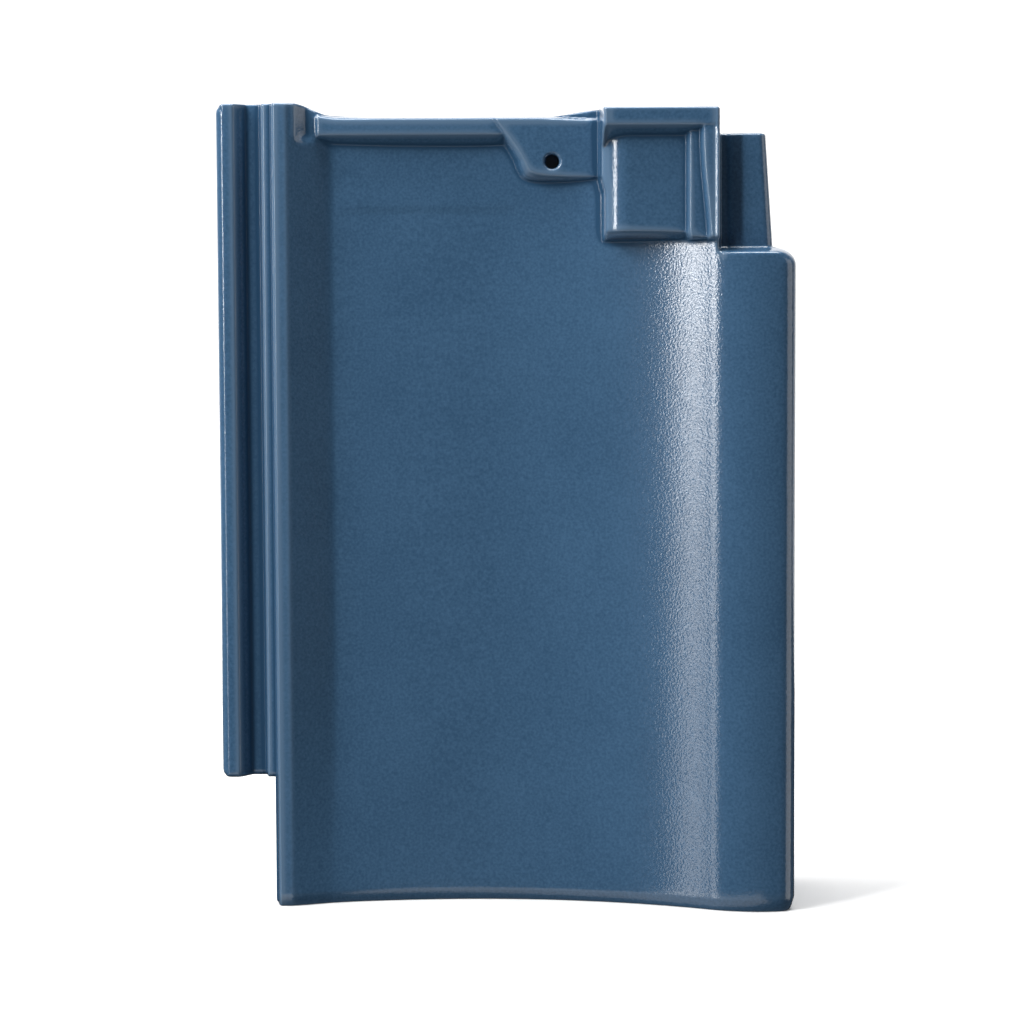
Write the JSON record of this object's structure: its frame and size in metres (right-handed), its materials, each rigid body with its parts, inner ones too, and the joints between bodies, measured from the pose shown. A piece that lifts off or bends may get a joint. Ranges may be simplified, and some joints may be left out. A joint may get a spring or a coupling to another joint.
{
  "type": "glazed verge tile",
  "caption": "Glazed clay roof tile for a verge: a curved pan and roll with a side lock, a nail pad, a corner block and a deep side flap.",
  "frame": {"origin": "centre of the footprint, on the level that the foot edge stands on", "axes": "+Z along the tile from foot to head, +X from the side lock to the verge flap, -Y out of the glazed face"},
  "size_m": [0.266, 0.08, 0.373],
  "materials": {
    "glaze": "semi-gloss"
  },
  "bodies": {
    "root": {"verge_tile": "glaze"}
  },
  "joints": []
}
